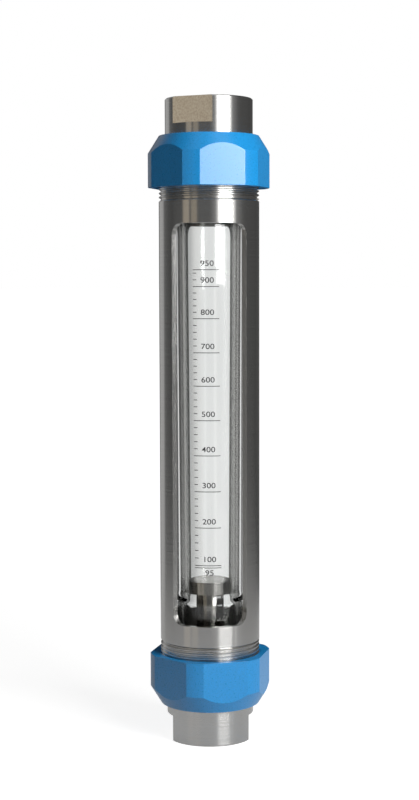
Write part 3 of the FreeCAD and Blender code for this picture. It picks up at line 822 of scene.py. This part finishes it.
def pale_floor_finish():
    """Pale matt paper: white to the eye and to glass, under the meter's shadow, and duller in metal, where
    its glow is a painted reflection, brighter near the meter.
    """
    material, nodes, links, shader = new_material("pale_floor")
    shader.inputs["Base Color"].default_value = (*FLOOR_COLOUR, 1)
    shader.inputs["Roughness"].default_value = FLOOR_DULLNESS
    shader.inputs["Specular IOR Level"].default_value = 0.0
    shader.inputs["Emission Color"].default_value = (1, 1, 1, 1)
    path, straight = white_to_the_eye(nodes, links, "Object")
    place = nodes.new("ShaderNodeTexCoord")
    from_meter = nodes.new("ShaderNodeVectorMath")
    from_meter.operation = "LENGTH"
    links.new(place.outputs["Object"], from_meter.inputs[0])
    whiteness = eased(nodes, links, from_meter.outputs["Value"], FLOOR_WHITENS, FLOOR_WHITE)
    dulled = eased(nodes, links, from_meter.outputs["Value"], FLOOR_IN_METAL_DULLS, FLOOR_IN_METAL)
    in_metal = nodes.new("ShaderNodeMix")
    links.new(path.outputs["Glossy Depth"], in_metal.inputs["Factor"])
    links.new(worked_out(nodes, links, "MULTIPLY", straight, whiteness), in_metal.inputs["A"])
    links.new(dulled, in_metal.inputs["B"])
    links.new(in_metal.outputs["Result"], shader.inputs["Emission Strength"])
    return material


floor_shape = bmesh.new()
bmesh.ops.create_grid(floor_shape, x_segments=1, y_segments=1, size=FLOOR_REACH)
floor = into_scene("floor", floor_shape, pale_floor_finish())

WHITE_IN_METAL, ROOM_LIGHT = 0.75, 0.075
world = bpy.data.worlds.new("white_surround")
bpy.context.scene.world = world
world.use_nodes = True
world_nodes, world_links = world.node_tree.nodes, world.node_tree.links
room = world_nodes["Background"]
room.inputs["Color"].default_value = (ROOM_LIGHT, ROOM_LIGHT, ROOM_LIGHT, 1)
white_ground = world_nodes.new("ShaderNodeBackground")
white_ground.inputs["Color"].default_value = (1, 1, 1, 1)
white_ground.inputs["Strength"].default_value = 1.0
world_path, world_straight = white_to_the_eye(world_nodes, world_links, "Generated")
world_in_metal = worked_out(
    world_nodes, world_links, "MULTIPLY", world_path.outputs["Glossy Depth"], WHITE_IN_METAL, clamp=True
)
world_seen = worked_out(world_nodes, world_links, "MAXIMUM", world_straight, world_in_metal)
world_choice = world_nodes.new("ShaderNodeMixShader")
world_links.new(world_seen, world_choice.inputs["Fac"])
world_links.new(room.outputs["Background"], world_choice.inputs[1])
world_links.new(white_ground.outputs["Background"], world_choice.inputs[2])
world_links.new(world_choice.outputs["Shader"], world_nodes["World Output"].inputs["Surface"])

key_light = bpy.data.lights.new("key_softbox", "AREA")
key_light.shape = "RECTANGLE"
key_light.size = 2 * KEY_DISTANCE * math.tan(math.radians((KEY_END - KEY_START) / 2))
key_light.size_y = KEY_HEIGHT
key_light.energy = math.pi * KEY_RADIANCE * key_light.size * key_light.size_y
key_softbox = bpy.data.objects.new("key_softbox", key_light)
bpy.context.scene.collection.objects.link(key_softbox)
to_key = facing_at(math.radians((KEY_START + KEY_END) / 2))
key_softbox.matrix_world = (
    Matrix.Translation(to_key * KEY_DISTANCE + Vector((0, 0, KEY_MIDDLE)))
    @ (-to_key).to_track_quat("-Z", "Y").to_matrix().to_4x4()
)
key_softbox.visible_camera = False

# Camera: a long lens in front of the meter, a little above its middle and tipped slightly down.
# Its place, lens and sensor are in millimetres, its tilts in degrees and its reach in metres.
CAMERA_DISTANCE, CAMERA_HEIGHT, CAMERA_PITCH, CAMERA_ROLL = 938.4, 269.5, 4.22, -0.154
LENS, SENSOR_HEIGHT, SIGHT_END = 72.08, 36, 200
camera_data = bpy.data.cameras.new("front_camera")
camera_data.sensor_fit = "VERTICAL"
camera_data.sensor_height = SENSOR_HEIGHT
camera_data.lens = LENS
camera_data.clip_end = SIGHT_END
camera = bpy.data.objects.new("front_camera", camera_data)
bpy.context.scene.collection.objects.link(camera)
camera.matrix_world = (
    Matrix.Translation((0, -CAMERA_DISTANCE * MM, CAMERA_HEIGHT * MM))
    @ Matrix.Rotation(math.radians(90 - CAMERA_PITCH), 4, "X")
    @ Matrix.Rotation(math.radians(CAMERA_ROLL), 4, "Z")
)
bpy.context.scene.camera = camera
bpy.context.scene.view_settings.view_transform = "Standard"
